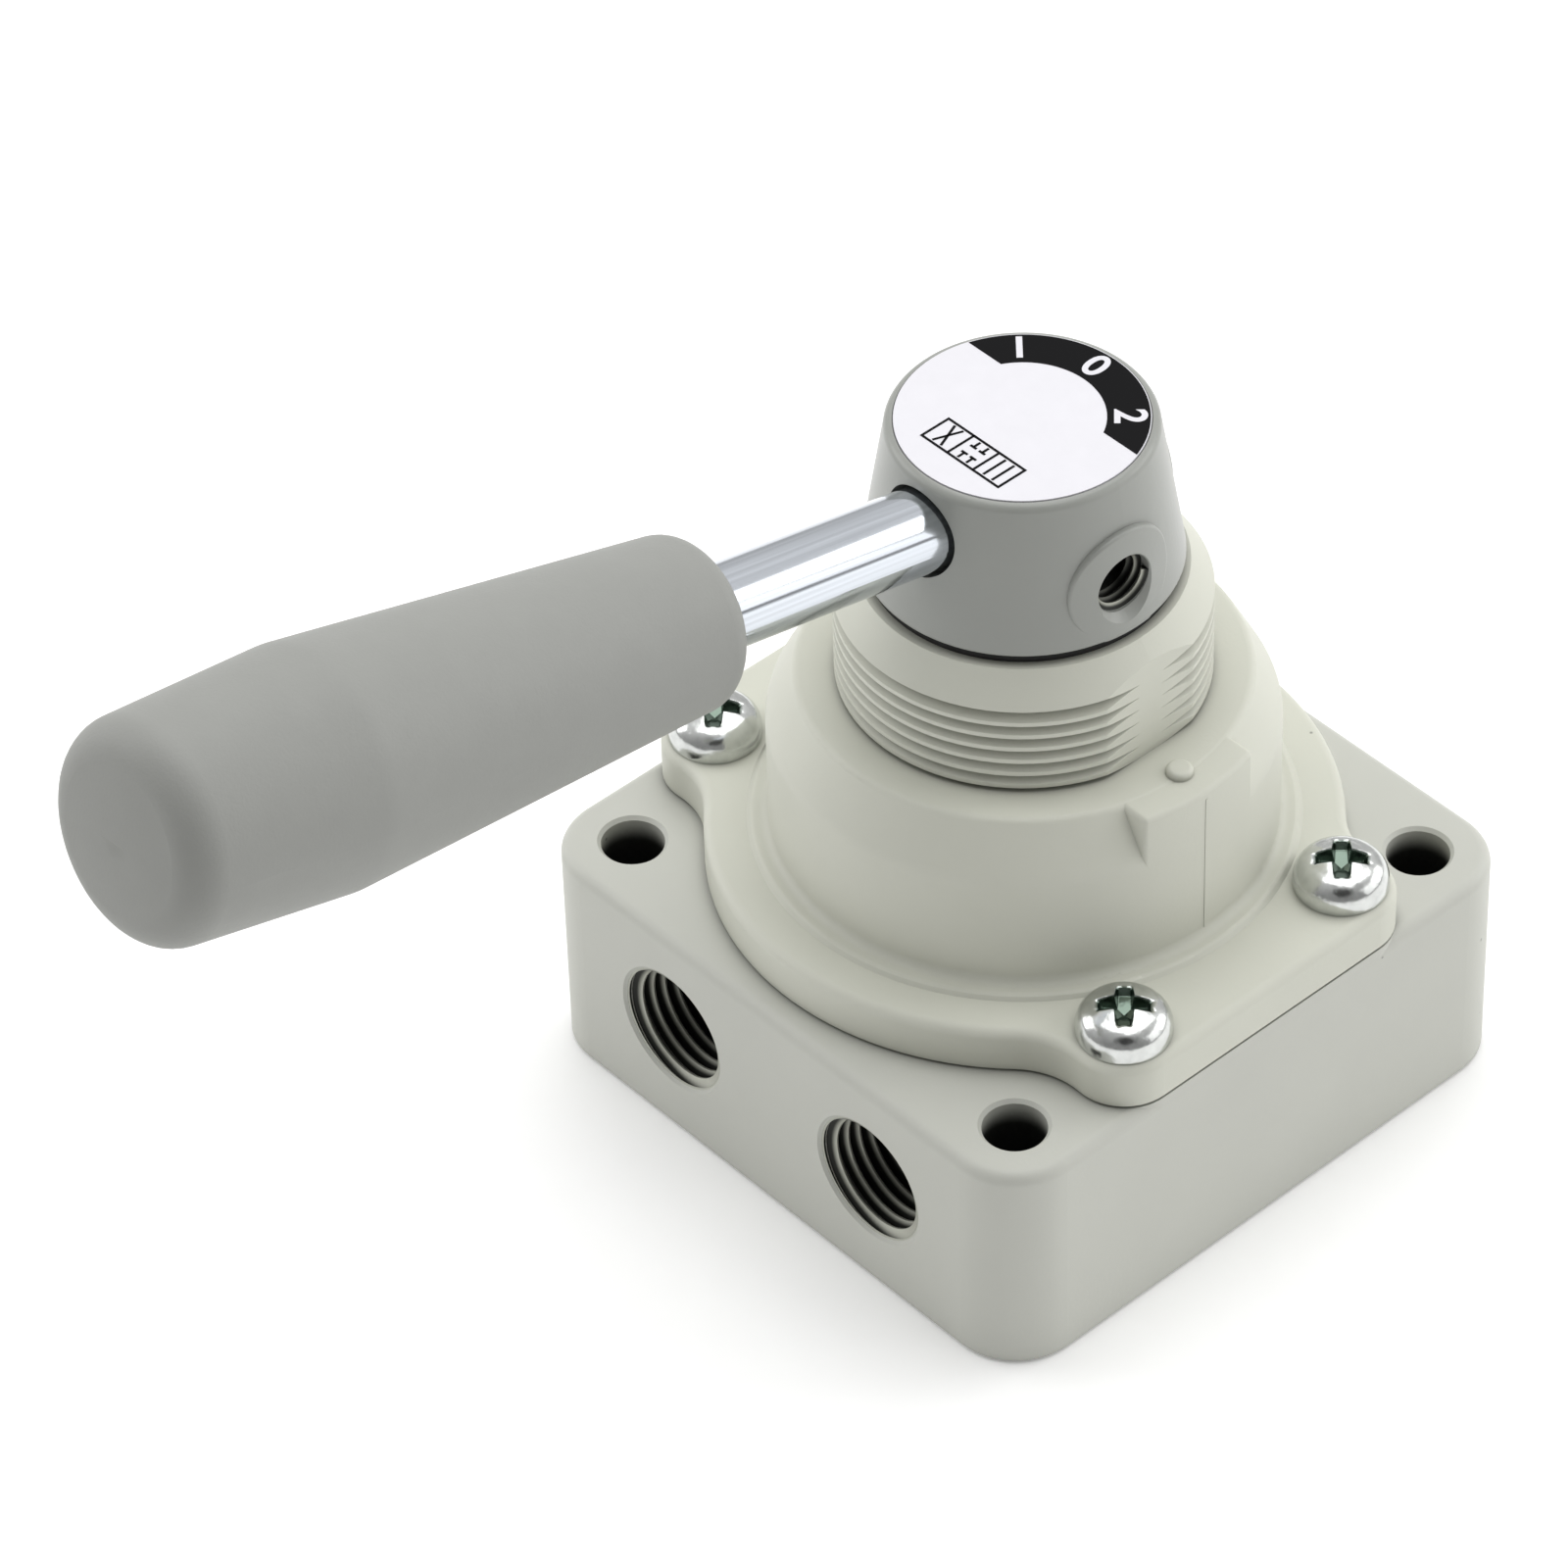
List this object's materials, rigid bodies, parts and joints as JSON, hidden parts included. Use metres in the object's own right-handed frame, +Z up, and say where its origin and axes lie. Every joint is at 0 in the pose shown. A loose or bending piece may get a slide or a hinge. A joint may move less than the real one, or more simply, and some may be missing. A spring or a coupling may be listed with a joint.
{
  "type": "hand lever air valve",
  "caption": "Square-bodied rotary air valve with ports on two sides, a round cover with a threaded neck, and a tilted hand lever that swings to three positions.",
  "frame": {"origin": "centre of the mounting face under the block, on the spindle axis", "axes": "+Z up along the spindle; the lever stands over -Y in its middle position; the ports are on the -Y and +Y faces; the detent ledge is on the +X side"},
  "size_m": [0.066, 0.1366, 0.1005],
  "materials": {
    "cast_silver": "die-cast, matt silver-grey paint",
    "cast_grey": "die-cast, satin mid-grey paint",
    "chrome_rod": "polished chrome plating",
    "grip_plastic": "moulded, fine matt grain",
    "label": "printed, smooth",
    "zinc_steel": "bright zinc plating",
    "dark_steel": "dark oxide",
    "spindle_steel": "ground",
    "plate_steel": "lapped",
    "acetal": "machined",
    "spring_steel": "drawn wire",
    "bronze": "sintered",
    "seal_rubber": "moulded"
  },
  "bodies": {
    "valve_body": {"body": "cast_silver", "seat_seals": "seal_rubber", "valve_plate": "plate_steel", "plate_pins": "spindle_steel", "cover_o_ring": "seal_rubber", "thrust_washer": "acetal", "spindle_bush": "bronze", "dust_wiper": "seal_rubber", "stop_pin": "spindle_steel", "detent_spring": "spring_steel", "cover": "cast_silver", "cover_screws": "zinc_steel"},
    "lever_assembly": {"spindle": "spindle_steel", "spindle_o_rings": "seal_rubber", "drive_pins": "spindle_steel", "valve_rotor": "acetal", "rotor_spring": "spring_steel", "head": "cast_grey", "head_set_screws": "dark_steel", "label_plate": "label", "lever_rod": "chrome_rod", "grip": "grip_plastic"},
    "detent": {"detent_ball": "spindle_steel"}
  },
  "joints": [
    {"name": "lever_turn", "type": "hinge", "parent": "valve_body", "child": "lever_assembly", "pos_m": [0, 0, 0.066], "axis": [0, 0, 1], "range_deg": [-45, 45]},
    {"name": "detent_slide", "type": "slide", "parent": "valve_body", "child": "detent", "axis": [0, 0, -1], "range_m": [0, 0.0005], "stiffness_N_per_m": 200, "springref_m": 0.0005, "deforming": ["detent_spring"]}
  ]
}
